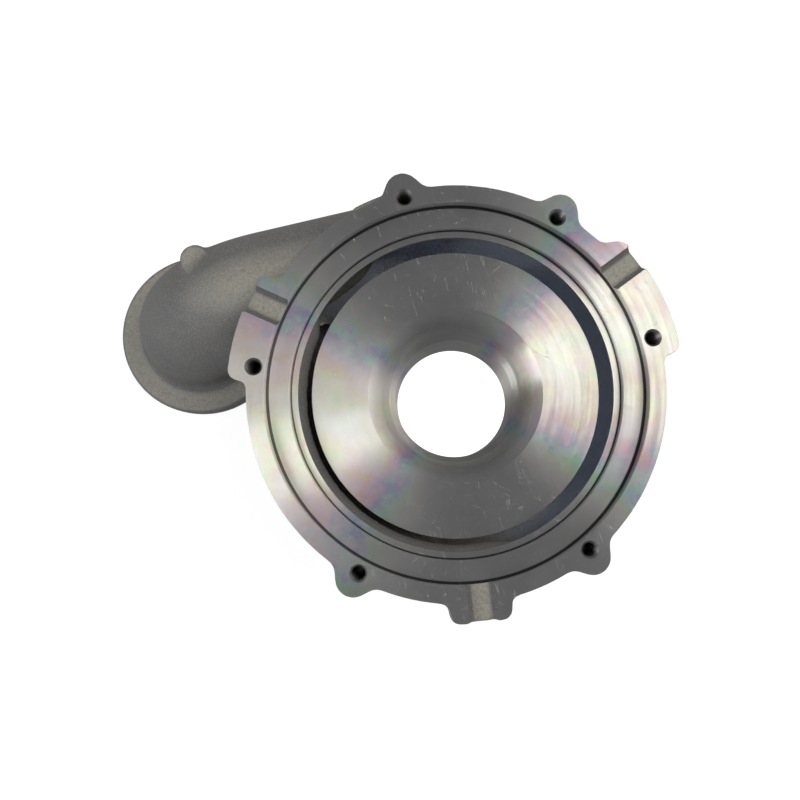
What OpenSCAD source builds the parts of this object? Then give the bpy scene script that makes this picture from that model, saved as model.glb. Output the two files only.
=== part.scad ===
/* [Overall] */
// Height of the flange land above the inlet rim
overall_height = 112; // [106:1:124]
// Thickness of the cast scroll and outlet wall
cast_wall = 5; // [4:0.5:6]

/* [Backplate seat] */
// Radius of the register bore that centres the backplate
register_r = 94.7; // [93:0.1:97]
// Depth of the register bore below the flange land
register_depth = 5.5; // [4:0.5:7]
// Width of the seat ring that the backplate rests on
seat_width = 11.5; // [9:0.5:13]
// Width of the narrow ring inside the seat ring
inner_ring_width = 3.9; // [3:0.1:5]
// Drop from the seat ring to the narrow ring
inner_ring_drop = 3; // [2:0.5:4]
// Width of the relief groove in the corner of the register
relief_width = 1.4; // [1:0.1:2]
// Depth of the relief groove below the seat ring
relief_depth = 0.7; // [0.4:0.1:1.2]
// How far the relief groove cuts into the register wall
relief_undercut = 0.7; // [0.6:0.1:1]
// How far the undercut rises above the seat ring
relief_rise = 0.4; // [0.2:0.1:0.6]

/* [Flange] */
// Width of the flange rim outside the register bore
rim_width = 8.7; // [8:0.1:10]
// Thickness of the flange web
web_thickness = 12; // [10:0.5:14]
// Radius of the rounded lobe round a lone bolt hole
lobe_r = 8.7; // [8:0.1:9.5]
// How far a lobe stands out past the rim
lobe_rise = 9.5; // [9:0.1:10.5]
// Radius of the fillet between a lobe and the rim
lobe_fillet = 6; // [5:0.5:8]
// How far a wide land stands out past the rim
land_rise = 9.5; // [8:0.5:11]
// Radius on the corners of a wide land
land_corner = 5; // [3:0.5:6]
// How far the cast ledge behind the rim stands out past it
ledge_rise = 4.8; // [4:0.1:6]
// Depth of the ledge below the flange land
ledge_drop = 8; // [6:0.5:10]

/* [Bolt holes] */
// Distance from the register bore to the bolt circle
hole_offset = 5.8; // [5.4:0.1:6.6]
// Drilled diameter of the tapped holes
tap_drill = 6.8; // [5.5:0.1:7.2]
// Depth of the tapped holes
tap_depth = 20; // [15:1:22]
// Width of the chamfer at the mouth of each hole
hole_chamfer = 0.8; // [0.4:0.1:1.2]
// Radius of the boss behind each hole
hole_boss_r = 9; // [8.5:0.5:10]
// How far a boss reaches past the bottom of its hole
hole_boss_cover = 4; // [3:0.5:6]

/* [Relief notches] */
// Width of a notch at the flange land
notch_width = 14; // [11:0.5:16]
// Width of the floor of a notch
notch_floor = 10; // [8:0.5:10.5]
// Depth of a notch
notch_depth = 4.5; // [3:0.5:6]
// Radius where the floor of a notch meets its sides
notch_corner = 1.8; // [1:0.2:2.4]

/* [Diffuser and wheel bore] */
// Width of the ring gap that opens into the scroll
gap_width = 5.7; // [5:0.1:7]
// Depth of the diffuser face below the flange land
diffuser_depth = 16.5; // [15:0.5:18]
// Thickness of the diffuser lip over the scroll
diffuser_lip = 2.5; // [2:0.5:4]
// Radius of the wheel bore at the diffuser face
wheel_tip_r = 45; // [42:0.5:47]
// Length of the curved part of the wheel bore
contour_depth = 20; // [16:1:24]
// Radius of the throat
throat_r = 32; // [29:0.5:34]
// How much wider than the throat the wheel bore is at its narrow end
inducer_step = 3; // [2:0.5:4]
// Length of the bevel between the wheel bore and the throat
inducer_bevel = 3.5; // [2:0.5:5]
// Depth of the far end of the throat below the flange land
throat_end_depth = 76; // [70:1:80]
// Radius of the inlet opening
inlet_r = 43.5; // [40:0.5:45]
// Radius of the inlet spigot outside
spigot_r = 49; // [48:0.5:51]
// How far the hose bead stands out from a spigot
bead_rise = 1.8; // [1:0.2:2.4]

/* [Scroll] */
// Angle of the tongue where the scroll starts
tongue_angle = 157; // [155:1:160]
// Angle at which the outlet leaves the scroll
outlet_angle = 463.3; // [460:0.1:467]
// Angle of the edge that the tongue shows in the ring gap
tongue_edge = 152; // [149:1:154]
// Passage radius at the start of the scroll
start_r = 9; // [7:0.5:10]
// Passage radius where the outlet leaves the scroll
exit_r = 29; // [26:0.5:31]
// Shift of the passage centre inside the gap at the start
start_shift = 1.5; // [0:0.5:3]
// Shift of the passage centre outside the gap at the exit
exit_shift = 5.5; // [4:0.5:7]

/* [Outlet] */
// Distance along the outlet from the scroll to the port axis
outlet_reach = 142.7; // [136:0.1:149]
// Height above the port face where the elbow points straight down
bend_end = 7; // [5:0.5:10]
// Passage radius at the port
port_r = 28; // [26:0.5:30]
// How far the turned mouth of the port is wider than the passage
port_mouth_step = 1.5; // [1:0.5:2.5]
// Radius of the port lip
port_lip_r = 50.5; // [47:0.5:53]
// Thickness of the port lip
port_lip_thickness = 9; // [8:0.5:11]
// Width of the flared root where the elbow meets the port lip
port_flare = 7; // [5:0.5:9]
// Radius of the cast nub on the elbow
nub_r = 8; // [6:0.5:9]
// Height of the nub face above the outlet axis
nub_height = 20.5; // [18:0.5:23]
// Distance of the nub from the port axis, back along the outlet
nub_back = 24.3; // [22:0.1:27]
// Distance of the nub from the outlet axis, towards the outer side
nub_side = 21.3; // [19:0.1:24]

/* [Hidden] */
$fn = 96;

// Overlap that lets cuts pass cleanly through a face
over = 1;

// Small step that keeps arcs crossing where they would only touch
hair = 0.05;

// Ring sizes worked inwards from the register bore
rim_r = register_r + rim_width;
hole_circle_r = register_r + hole_offset;
seat_inner_r = register_r - seat_width;
gap_outer_r = seat_inner_r - inner_ring_width;
gap_inner_r = gap_outer_r - gap_width;
gap_mid_r = (gap_outer_r + gap_inner_r) / 2;
inner_ring_depth = register_depth + inner_ring_drop;
land_r = rim_r + land_rise;
lobe_tip_r = rim_r + lobe_rise;

// Drilled radius of the tapped holes
tap_r = tap_drill / 2;

// Drum that joins the flange to the scroll, with a slight draft
drum_gap = 0.6;
drum_r = hole_circle_r - tap_r - drum_gap;
diffuser_web = 9.5;
drum_depth = diffuser_depth + diffuser_web;
drum_draft = 2;

// Angles of the cast lobes, and of the holes that were drilled after casting
lobe_angles = [60.1, 105.1, 241.2, 309];
hole_angles = [15.2, 60, 105.2, 173.4, 241.6, 309.6];

// Wide lands: first and last angle of the full-height stretch, and the corner at each
horn_corner = 8;
lands = [
    [12.7, 39.8, land_corner, horn_corner],
    [151.2, 174.7, land_corner, land_corner],
    [270.6, 281.4, land_corner, land_corner]
];
notch_angles = [36.6, 156, 276.5];
notch_reach = 5;

// Cast ledge behind the rim: its angles, corner and thickness
ledge = [107, 118.5];
ledge_corner = 3;
ledge_thickness = 12;

// Scroll and outlet
passage_top_depth = diffuser_depth + diffuser_lip;
cap_angle = 270;
first_steps = 18;
second_steps = 32;
gap_steps = 60;
tongue_steps = 10;
section_sides = 24;
straight_steps = 3;
bend_steps = 12;
gap_cut = 3;
gap_cut_depth = passage_top_depth + gap_cut;
tongue_climb = 5;
skin_end = 2;

// Boss of solid metal at the tongue, set back from the ring gap and the tongue
tongue_boss_r = 18;
tongue_boss_inset = 7;
tongue_boss_turn = 7;
tongue_boss_cover = 1;

// Inlet spigot with its hose bead, and the neck and hub above it
inlet_land = 6;
bead_half = 3;
bead_top_half = 1;
bead_from_rim = 9;
spigot_length = 26;
spigot_edge = 1;
neck_wall = 6;
neck_flare = 2;
neck_flare_length = 12;
neck_waist = 8;
hub_foot = 18;
hub_side = 4;
hub_flare = 6;
hub_top = 1;

// Port lip: edge rounding and steps of the flared root
lip_edge = 2;
lip_foot_edge = 1;
flare_waist = 3;
flare_rise = 2.5;
flare_end = 0.6;
flare_length = 7;

// Nub: its length and draft
nub_length = 24;
nub_draft = 1.5;

// A quarter turn in degrees, and arc steps of the bell and the wheel bore
quarter = 90;
bell_steps = 6;
contour_steps = 12;

// A point at radius r and angle a
function polar(r, a) = [r * cos(a), r * sin(a)];

// Height of a depth measured down from the flange land
function level(depth) = overall_height - depth;

// Share of the scroll run through at angle a
function share(a) = (a - tongue_angle) / (outlet_angle - tongue_angle);

// Passage radius: its area grows in step with the angle
function passage_r(a) = sqrt(start_r ^ 2 + (exit_r ^ 2 - start_r ^ 2) * share(a));

// Distance of the passage centre from the main axis
function centre_r(a) = gap_mid_r - start_shift + (exit_shift + start_shift) * share(a);

// A station is a centre, a sideways and an upward direction, and a passage radius
function scroll_station(a) = [
    [centre_r(a) * cos(a), centre_r(a) * sin(a), level(passage_top_depth + passage_r(a))],
    [cos(a), sin(a), 0],
    [0, 0, 1],
    passage_r(a)
];

// Directions at the place where the outlet leaves the scroll
exit_station = scroll_station(outlet_angle);
outlet_side = exit_station[1];
outlet_along = [-sin(outlet_angle), cos(outlet_angle), 0];
outlet_level = exit_station[0][2];
port_centre = exit_station[0] + outlet_reach * outlet_along;
bend_r = outlet_level - bend_end;
straight_length = outlet_reach - bend_r;

// Passage radius at share t of the way from the scroll to the port
function outlet_r(t) = exit_r + (port_r - exit_r) * t;

function straight_station(t) = [
    exit_station[0] + t * straight_length * outlet_along,
    outlet_side,
    [0, 0, 1],
    outlet_r(t * straight_length / outlet_reach)
];

function bend_station(b) = [
    exit_station[0] + (straight_length + bend_r * sin(b)) * outlet_along
        - [0, 0, bend_r * (1 - cos(b))],
    outlet_side,
    sin(b) * outlet_along + [0, 0, cos(b)],
    outlet_r((straight_length + bend_r * sin(b)) / outlet_reach)
];

function port_station(z) = [
    [port_centre[0], port_centre[1], z],
    outlet_side,
    outlet_along,
    port_r
];

// Points of the round section at a station, grown by the wall
function section(s, grow) = [
    for (k = [0 : section_sides - 1])
        let (a = 360 * k / section_sides)
            s[0] + (s[3] + grow) * (cos(a) * s[1] + sin(a) * s[2])
];

// Stations along the scroll between two angles, and along the outlet
function scroll_stations(from, to, steps) = [
    for (k = [0 : steps]) scroll_station(from + (to - from) * k / steps)
];
outlet_run = concat(
    [for (k = [1 : straight_steps]) straight_station(k / straight_steps)],
    [for (k = [1 : bend_steps]) bend_station(quarter * k / bend_steps)]
);

// Closed skin through a list of sections that all have as many points
module swept(sections) {
    n = len(sections[0]);
    last = (len(sections) - 1) * n;
    sides = [
        for (i = [0 : len(sections) - 2], k = [0 : n - 1])
            let (a = i * n + k, b = i * n + (k + 1) % n)
                each [[a, b, b + n], [a, b + n, a + n]]
    ];
    start_cap = [for (k = [n - 1 : -1 : 0]) k];
    end_cap = [for (k = [0 : n - 1]) last + k];
    polyhedron([for (s = sections) each s], concat([start_cap, end_cap], sides), convexity = 8);
}

// Scroll and outlet as two runs that share one section
module scroll_run(grow, port_end) {
    first_run = scroll_stations(tongue_angle, cap_angle, first_steps);
    second_run = concat(
        scroll_stations(cap_angle, outlet_angle, second_steps),
        outlet_run,
        [port_station(port_end)]
    );
    swept([for (s = first_run) section(s, grow)]);
    swept([for (s = second_run) section(s, grow)]);
}

// Concave fillet between a corner circle and the rim, on one side of it
module rim_fillet(angle, centre, corner, side) {
    reach = rim_r + lobe_fillet;
    turn = acos((reach ^ 2 + centre ^ 2 - (corner + lobe_fillet) ^ 2) / (2 * reach * centre));
    far = polar(reach, angle + side * turn);
    difference() {
        polygon([[0, 0], polar(centre, angle), far]);
        translate(far)
            circle(lobe_fillet - hair);
    }
}

// Band between two angles with a round corner at each end of its tip
module arc_band(from, to, tip, from_corner, to_corner) {
    translate(polar(tip - from_corner, from))
        circle(from_corner);
    translate(polar(tip - to_corner, to))
        circle(to_corner);
    if (to > from)
        intersection() {
            circle(tip - hair);
            polygon([[0, 0], polar(2 * tip, from), polar(2 * tip, to)]);
        }
}

// Part of the flange outline that stands out past the rim
module outline_land(from, to, tip, from_corner, to_corner) {
    arc_band(from, to, tip, from_corner, to_corner);
    rim_fillet(from, tip - from_corner, from_corner, -1);
    rim_fillet(to, tip - to_corner, to_corner, 1);
}

module flange_outline() {
    circle(rim_r);
    for (a = lobe_angles)
        outline_land(a, a, lobe_tip_r, lobe_r, lobe_r);
    for (l = lands)
        outline_land(l[0], l[1], land_r, l[2], l[3]);
}

module flange() {
    translate([0, 0, level(web_thickness)])
        linear_extrude(web_thickness)
            flange_outline();
    translate([0, 0, level(drum_depth)])
        cylinder(h = drum_depth, r1 = drum_r - drum_draft, r2 = drum_r);
    translate([0, 0, level(ledge_drop + ledge_thickness)])
        linear_extrude(ledge_thickness)
            arc_band(ledge[0], ledge[1], rim_r + ledge_rise, ledge_corner, ledge_corner);
    boss_depth = tap_depth + hole_boss_cover;
    for (a = hole_angles)
        translate([each polar(hole_circle_r, a), level(boss_depth)])
            cylinder(h = boss_depth - web_thickness + over, r = hole_boss_r);
}

// Hub, throat wall and inlet spigot with its hose bead
module inlet_neck() {
    neck_r = throat_r + neck_wall;
    hub_r = wheel_tip_r + neck_wall;
    bead_r = spigot_r + bead_rise;
    rotate_extrude()
        polygon([
            [0, 0],
            [spigot_r - spigot_edge, 0],
            [spigot_r, spigot_edge],
            [spigot_r, bead_from_rim - bead_half],
            [bead_r, bead_from_rim - bead_top_half],
            [bead_r, bead_from_rim + bead_top_half],
            [spigot_r, bead_from_rim + bead_half],
            [spigot_r, spigot_length],
            [neck_r + neck_flare, spigot_length + neck_flare_length],
            [neck_r, level(throat_end_depth) + neck_waist],
            [neck_r, level(drum_depth + hub_foot)],
            [hub_r, level(drum_depth + hub_side)],
            [hub_r + hub_flare, level(drum_depth - hub_top)],
            [0, level(drum_depth - hub_top)]
        ]);
}

// Round boss of solid metal round the tongue
module tongue_boss() {
    place = polar(gap_mid_r - tongue_boss_inset, tongue_angle - tongue_boss_turn);
    top = level(diffuser_depth + tongue_boss_cover);
    translate([each place, outlet_level])
        cylinder(h = top - outlet_level, r = tongue_boss_r);
}

// Lip round the port, with a flared root up the elbow
module port_lip() {
    pipe_r = port_r + cast_wall;
    translate([port_centre[0], port_centre[1], 0])
        rotate_extrude()
            polygon([
                [0, 0],
                [port_lip_r - lip_foot_edge, 0],
                [port_lip_r, lip_foot_edge],
                [port_lip_r, port_lip_thickness - lip_edge],
                [port_lip_r - lip_edge, port_lip_thickness],
                [pipe_r + port_flare, port_lip_thickness],
                [pipe_r + flare_waist, port_lip_thickness + flare_rise],
                [pipe_r + flare_end, port_lip_thickness + flare_length],
                [0, port_lip_thickness + flare_length]
            ]);
}

// Cast nub on the shoulder of the elbow, with a flat face and drafted sides
module nub() {
    place = port_centre - nub_back * outlet_along + nub_side * outlet_side;
    translate([place[0], place[1], outlet_level + nub_height - nub_length])
        cylinder(h = nub_length, r1 = nub_r + nub_draft, r2 = nub_r);
}

// Bores cut by the lathe from the flange side and from the inlet side
module turned_bores() {
    translate([0, 0, level(register_depth)])
        cylinder(h = register_depth + over, r = register_r);
    translate([0, 0, level(register_depth + relief_depth)])
        difference() {
            cylinder(h = relief_depth + relief_rise, r = register_r + relief_undercut);
            translate([0, 0, -over])
                cylinder(h = relief_depth + 3 * over, r = register_r - relief_width);
        }
    translate([0, 0, level(inner_ring_depth)])
        cylinder(h = inner_ring_depth + over, r = seat_inner_r);
    translate([0, 0, level(diffuser_depth)])
        cylinder(h = diffuser_depth + over, r = gap_mid_r);
    wheel_bore();
    translate([port_centre[0], port_centre[1], -over])
        cylinder(h = port_lip_thickness + over, r = port_r + port_mouth_step);
}

// Points of a quarter ellipse that starts at radius r + width and closes in to r
function ellipse_arc(r, width, start, rise, steps) = [
    for (k = [0 : steps])
        let (a = quarter * k / steps)
            [r + width * cos(a), start + rise * sin(a)]
];

// Inlet bell, throat, bevel and the curved bore that the wheel runs in
module wheel_bore() {
    inducer_r = throat_r + inducer_step;
    inducer_depth = diffuser_depth + contour_depth;
    bell_rise = level(throat_end_depth) - inlet_land;
    face = level(diffuser_depth);
    bell = ellipse_arc(throat_r, inlet_r - throat_r, inlet_land, bell_rise, bell_steps);
    contour_width = wheel_tip_r - inducer_r;
    contour = [
        for (k = [0 : contour_steps])
            let (a = quarter * k / contour_steps)
                [
                    wheel_tip_r - contour_width * cos(a),
                    level(inducer_depth) + contour_depth * sin(a)
                ]
    ];
    rotate_extrude()
        polygon(concat(
            [[0, -over], [inlet_r, -over]],
            bell,
            [[throat_r, level(inducer_depth + inducer_bevel)]],
            contour,
            [[wheel_tip_r, face + over], [0, face + over]]
        ));
}

// Upright slot of the gap at one angle, down to a floor level
function gap_section(a, floor_level) = [
    for (p = [
        [gap_outer_r, floor_level],
        [gap_outer_r, level(inner_ring_depth) + over],
        [gap_inner_r, level(inner_ring_depth) + over],
        [gap_inner_r, floor_level]
    ])
        [p[0] * cos(a), p[0] * sin(a), p[1]]
];

// Floor of the gap over the outlet: it climbs steeply from the passage up to the tongue
function tongue_floor(t) = outlet_level + (level(gap_cut_depth) - outlet_level) * t ^ tongue_climb;

// Ring gap in two runs: over the scroll, and over the outlet back to the tongue
module ring_gap() {
    swept([
        for (k = [0 : gap_steps])
            let (a = tongue_edge + (outlet_angle - tongue_edge) * k / gap_steps)
                gap_section(a, level(gap_cut_depth))
    ]);
    swept([
        for (k = [0 : tongue_steps])
            let (t = k / tongue_steps, from = outlet_angle - 360)
                gap_section(from + (tongue_edge - from) * t, tongue_floor(t))
    ]);
}

module bolt_holes() {
    for (a = hole_angles)
        translate([each polar(hole_circle_r, a), 0]) {
            translate([0, 0, level(tap_depth)])
                cylinder(h = tap_depth + over, d = tap_drill);
            translate([0, 0, level(hole_chamfer)])
                cylinder(h = hole_chamfer + over, r1 = tap_r, r2 = tap_r + hole_chamfer + over);
        }
}

module notch_profile() {
    polygon([
        [-notch_width / 2 - over, over],
        [notch_width / 2 + over, over],
        [notch_floor / 2, notch_corner - notch_depth],
        [-notch_floor / 2, notch_corner - notch_depth]
    ]);
    for (side = [-1, 1])
        translate([side * (notch_floor / 2 - notch_corner), notch_corner - notch_depth])
            circle(notch_corner);
    translate([notch_corner - notch_floor / 2, -notch_depth])
        square([notch_floor - 2 * notch_corner, 2 * notch_corner]);
}

module notches() {
    for (a = notch_angles)
        rotate([90, 0, a + 90])
            translate([0, overall_height, register_r - over])
                linear_extrude(land_r - register_r + notch_reach)
                    notch_profile();
}

module compressor_housing() {
    color([0.62, 0.61, 0.59])
        difference() {
            union() {
                flange();
                inlet_neck();
                tongue_boss();
                scroll_run(cast_wall, skin_end);
                port_lip();
                nub();
            }
            scroll_run(0, -over);
            turned_bores();
            ring_gap();
            bolt_holes();
            notches();
        }
}

compressor_housing();
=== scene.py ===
"""Looks of a turbo compressor housing: a sand casting with lathe-turned faces."""
import logging
import math
from dataclasses import dataclass
from enum import Enum
from typing import Sequence

import bpy
import numpy as np
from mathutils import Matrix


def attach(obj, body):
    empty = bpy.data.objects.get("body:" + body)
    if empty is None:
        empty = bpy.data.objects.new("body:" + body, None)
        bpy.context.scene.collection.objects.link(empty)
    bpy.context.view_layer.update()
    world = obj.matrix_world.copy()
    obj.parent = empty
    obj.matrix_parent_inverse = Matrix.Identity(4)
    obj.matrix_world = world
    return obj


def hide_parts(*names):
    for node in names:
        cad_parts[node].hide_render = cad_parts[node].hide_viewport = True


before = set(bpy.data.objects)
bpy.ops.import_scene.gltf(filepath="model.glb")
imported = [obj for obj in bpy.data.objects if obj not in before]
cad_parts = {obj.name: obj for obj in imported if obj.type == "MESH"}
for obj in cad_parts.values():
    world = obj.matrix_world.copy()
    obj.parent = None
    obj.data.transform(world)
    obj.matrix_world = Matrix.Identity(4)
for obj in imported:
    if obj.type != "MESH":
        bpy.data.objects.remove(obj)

import openvdb
from mathutils import Matrix, Vector

log = logging.getLogger("housing")
MM = 0.001
BLEND_PER_RADIUS = 1.4
Field = np.ndarray
Socket = bpy.types.NodeSocket
Piece = bpy.types.Object
Pair = tuple[float, float]
Colour = tuple[float, float, float, float]
Ramp = tuple[float, float, float, float]
Noise = tuple[float, float, float]
Land = tuple[float, float, float, float]
Profile = list[Pair]
NOISE_MIDDLE = (0.3, 0.7)


class Surface(Enum):
    """Which tool left a surface, in the order of the body's material slots."""

    CAST = 0
    TURNED = 1
    BORED = 2


def union(a: Field, b: Field, blend: Field | float) -> Field:
    """Distance to two solids joined, in millimetres, with a rounded inner corner of a given reach."""
    overlap = np.maximum(blend - np.abs(a - b), 0.0)
    return np.minimum(a, b) - overlap * overlap / (4.0 * blend)


def common(a: Field, b: Field, blend: float) -> Field:
    """Distance to what two solids share, with a rounded outer edge of a given reach."""
    return -union(-a, -b, blend)


def smooth_step(low: float, high: float, value: Field) -> Field:
    """Rises smoothly from 0 at low to 1 at high."""
    t = np.clip((value - low) / (high - low), 0.0, 1.0)
    return t * t * (3.0 - 2.0 * t)


def around(radius: float, degrees: float) -> Pair:
    """Point at a radius and at an angle, which is counter-clockwise from +X."""
    return radius * math.cos(math.radians(degrees)), radius * math.sin(math.radians(degrees))


def mesh_object(name: str, points: np.ndarray, faces: Sequence[Sequence[int]]) -> Piece:
    """Makes a linked mesh object.

    Args:
        name: Name of the object.
        points: Corner positions in metres.
        faces: Corner numbers of each face.

    Returns:
        The new object.
    """
    mesh = bpy.data.meshes.new(name)
    mesh.from_pydata([tuple(p) for p in points], [], [tuple(f) for f in faces])
    mesh.validate()
    made = bpy.data.objects.new(name, mesh)
    bpy.context.scene.collection.objects.link(made)
    return made


@dataclass
class Sizes:
    """Sizes of the housing in millimetres and degrees. Depths are measured down from the flange land."""

    height: float = 112.0
    wall: float = 5.0
    overlap: float = 1.0
    register_r: float = 94.7
    register_depth: float = 5.5
    seat_width: float = 11.5
    inner_ring_width: float = 3.9
    inner_ring_drop: float = 3.0
    step_groove_width: float = 0.9
    step_groove_depth: float = 0.4
    relief_width: float = 1.4
    relief_depth: float = 0.7
    relief_undercut: float = 0.7
    relief_rise: float = 0.4
    relief_slant: float = 0.2
    rim_width: float = 8.7
    web: float = 12.0
    lobe_r: float = 8.7
    lobe_rise: float = 9.5
    land_rise: float = 9.5
    ledge_rise: float = 4.8
    ledge_drop: float = 8.0
    ledge_thickness: float = 12.0
    ledge_corner: float = 3.0
    drum_inset: float = 0.6
    drum_below: float = 9.5
    drum_draft: float = 2.0
    hole_offset: float = 5.8
    tap_drill_r: float = 3.4
    tap_depth: float = 20.0
    drill_point: float = 2.0
    thread_r: float = 4.0
    thread_pitch: float = 1.25
    thread_start: float = 2.5
    thread_end: float = 1.6
    hole_chamfer: float = 0.4
    hole_boss_r: float = 9.0
    hole_boss_below: float = 4.0
    notch_width: float = 14.0
    notch_floor: float = 10.0
    notch_depth: float = 4.5
    notch_inside: float = 3.0
    gap_width: float = 5.7
    gap_lip: float = 1.2
    gap_slope: float = 0.32
    gap_below: float = 3.0
    diffuser_depth: float = 16.5
    diffuser_lip: float = 2.5
    wheel_tip_r: float = 45.0
    inducer_step: float = 3.0
    inducer_bevel: float = 3.5
    inducer_corner: float = 0.3
    throat_r: float = 32.0
    contour_depth: float = 20.0
    contour_turn: float = 60.0
    throat_end_depth: float = 76.0
    inlet_r: float = 43.5
    inlet_land: float = 6.0
    mouth_chamfer: float = 1.0
    neck_wall: float = 6.0
    neck_foot: float = 20.0
    hub_below: float = 6.0
    spigot_r: float = 49.0
    spigot_top: float = 28.0
    bead_rise: float = 1.8
    bead_r: float = 3.0
    bead_level: float = 9.0
    tongue_angle: float = 157.0
    tongue_edge: float = 152.0
    tongue_climb: float = 5.0
    tongue_boss_r: float = 18.0
    tongue_boss_turn: float = 7.0
    tongue_boss_inside: float = 7.0
    outlet_angle: float = 463.3
    start_r: float = 9.0
    exit_r: float = 29.0
    start_shift: float = 1.5
    exit_shift: float = 5.5
    outlet_reach: float = 142.7
    bend_end: float = 7.0
    port_r: float = 28.0
    port_mouth_step: float = 1.5
    lip_r: float = 50.5
    lip_thickness: float = 9.0
    port_flare: float = 7.0
    nub_r: float = 8.0
    nub_draft: float = 1.5
    nub_height: float = 20.5
    nub_length: float = 24.0
    nub_back: float = 24.3
    nub_side: float = 21.3
    lobe_angles: tuple[float, ...] = (60.1, 105.1, 241.2, 309.0)
    hole_angles: tuple[float, ...] = (15.2, 60.0, 105.2, 173.4, 241.6, 309.6)
    lands: tuple[Land, ...] = (
        (12.7, 39.8, 5.0, 8.0), (151.2, 174.7, 5.0, 5.0), (270.6, 281.4, 5.0, 5.0))
    ledge: Pair = (107.0, 118.5)
    notch_angles: tuple[float, ...] = (36.6, 156.0, 276.5)
    draft_rise: Pair = (148.0, 158.0)
    draft_fall: Pair = (300.0, 280.0)

    def __post_init__(self) -> None:
        """Works out the sizes that follow from the others."""
        self.rim_r = self.register_r + self.rim_width
        self.hole_circle_r = self.register_r + self.hole_offset
        self.seat_inner_r = self.register_r - self.seat_width
        self.gap_outer_r = self.seat_inner_r - self.inner_ring_width
        self.gap_inner_r = self.gap_outer_r - self.gap_width
        self.gap_mid_r = (self.gap_outer_r + self.gap_inner_r) / 2
        self.inner_ring_depth = self.register_depth + self.inner_ring_drop
        self.land_r = self.rim_r + self.land_rise
        self.inducer_r = self.throat_r + self.inducer_step
        self.passage_top_depth = self.diffuser_depth + self.diffuser_lip
        self.bend_r = self.level(self.passage_top_depth + self.exit_r) - self.bend_end
        self.straight = self.outlet_reach - self.bend_r
        self.drum_r = self.hole_circle_r - self.tap_drill_r - self.drum_inset
        self.drum_depth = self.diffuser_depth + self.drum_below
        self.outlet_side = Vector((*around(1.0, self.outlet_angle), 0.0))
        self.outlet_along = Vector((-self.outlet_side.y, self.outlet_side.x, 0.0))
        self.outlet_start = (self.gap_mid_r + self.exit_shift) * self.outlet_side
        self.outlet_start.z = self.level(self.passage_top_depth + self.exit_r)
        self.port = self.outlet_start + self.outlet_reach * self.outlet_along

    def level(self, depth: float) -> float:
        """Height above the inlet rim of a depth below the land."""
        return self.height - depth

    def grooves(self) -> tuple[tuple[float, float, float], ...]:
        """Inner radius, outer radius and top of each narrow groove in the turned faces."""
        seat, ring = self.level(self.register_depth), self.level(self.inner_ring_depth)
        return ((self.register_r - self.relief_width, self.register_r + self.relief_undercut, seat),
                (self.seat_inner_r - self.step_groove_width, self.seat_inner_r, ring))


@dataclass(frozen=True)
class Roundings:
    """Reach of each rounding on the casting in millimetres. A foot is where a part runs into the rest."""

    outline: float = 7.0
    web: float = 3.0
    ledge: float = 2.0
    drum: float = 3.0
    drum_foot: float = 6.0
    boss: float = 4.0
    boss_foot: float = 5.0
    throat: float = 1.0
    hub: float = 6.0
    hub_foot: float = 20.0
    spigot: float = 1.5
    spigot_foot: float = 16.0
    bead_foot: float = 1.5
    neck_foot: float = 8.0
    lip: float = 3.0
    nub: float = 2.0
    nub_foot: float = 3.5
    tongue_boss: float = 3.0
    tongue_boss_foot: float = 6.0
    skin_foot: float = 7.0
    passage: float = 0.5
    notch: float = 2.0
    opening_edge: float = 1.0
    outlet_start: float = 0.5
    outlet_growth: float = 9.0
    outlet_stretch: Pair = (6.0, 30.0)


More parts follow.
